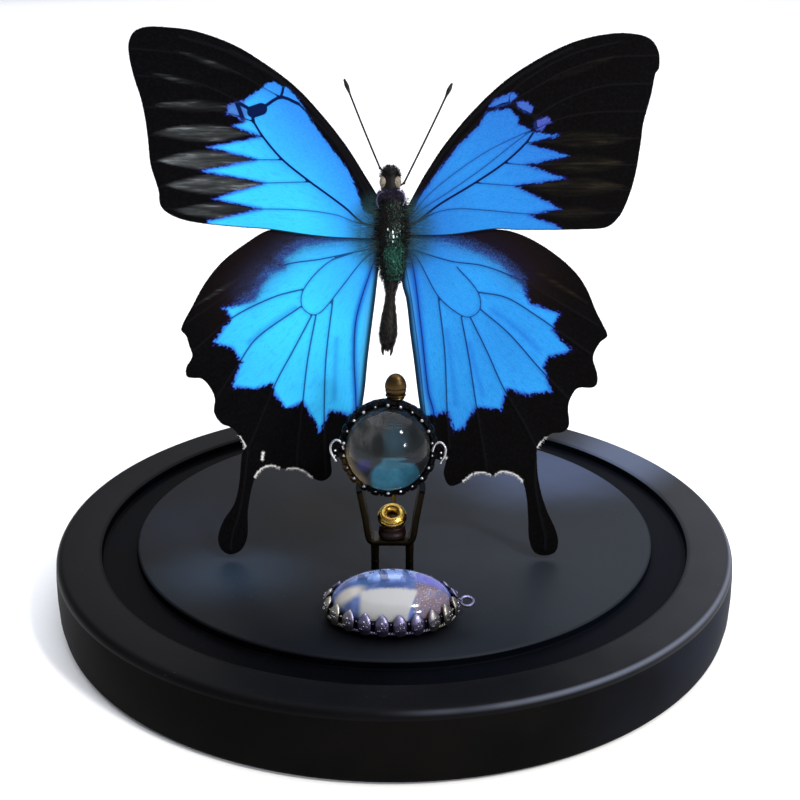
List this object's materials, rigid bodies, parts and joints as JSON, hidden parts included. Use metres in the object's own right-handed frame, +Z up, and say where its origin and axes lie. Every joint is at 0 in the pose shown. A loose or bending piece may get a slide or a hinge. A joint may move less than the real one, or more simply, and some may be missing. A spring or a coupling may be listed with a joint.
{
  "type": "mounted butterfly on a dome base",
  "caption": "Set blue swallowtail standing on a round black dome base, with a round glass cabochon in a crown setting on a small cradle and an oval moonstone pendant in front.",
  "frame": {"origin": "centre of the plinth's underside", "axes": "+Z up, the butterfly's back and both stones face -Y, and +X is to the right seen from the front"},
  "size_m": [0.16, 0.16, 0.1305],
  "materials": {
    "lacquered_wood": "satin black lacquer",
    "wing_scales": "iridescent blue scales on velvet black",
    "insect_hair": "black chitin with fine hair and green dust",
    "insect_chitin": "black chitin, faintly glossy",
    "brass": "drawn wire, lightly tarnished",
    "old_brass": "dark antique brass",
    "gold": "bright gilt",
    "enamel_red": "dark red enamel",
    "old_silver": "blackened silver, bright on its high places",
    "smoky_glass": "clear glass with a teal and violet sheen",
    "moonstone": "polished milky moonstone"
  },
  "bodies": {
    "root": {"plinth": "lacquered_wood", "thorax": "insect_hair", "abdomen": "insect_hair", "head": "insect_hair", "proboscis": "insect_chitin", "forewing_left": "wing_scales", "forewing_right": "wing_scales", "hindwing_left": "wing_scales", "hindwing_right": "wing_scales", "antenna_left": "insect_chitin", "antenna_right": "insect_chitin", "leg_front_left": "insect_chitin", "leg_middle_left": "insect_chitin", "leg_hind_left": "insect_chitin", "leg_front_right": "insect_chitin", "leg_middle_right": "insect_chitin", "leg_hind_right": "insect_chitin", "support_wire": "brass", "support_foot": "brass", "crystal_setting": "old_silver", "crystal": "smoky_glass", "setting_bail": "old_brass", "cradle_band": "old_brass", "cradle_collar": "enamel_red", "cradle_bead": "gold", "cradle_leg_left": "old_brass", "cradle_leg_right": "old_brass", "pendant_setting": "old_silver", "pendant_stone": "moonstone", "pendant_loop": "old_silver"}
  },
  "joints": []
}
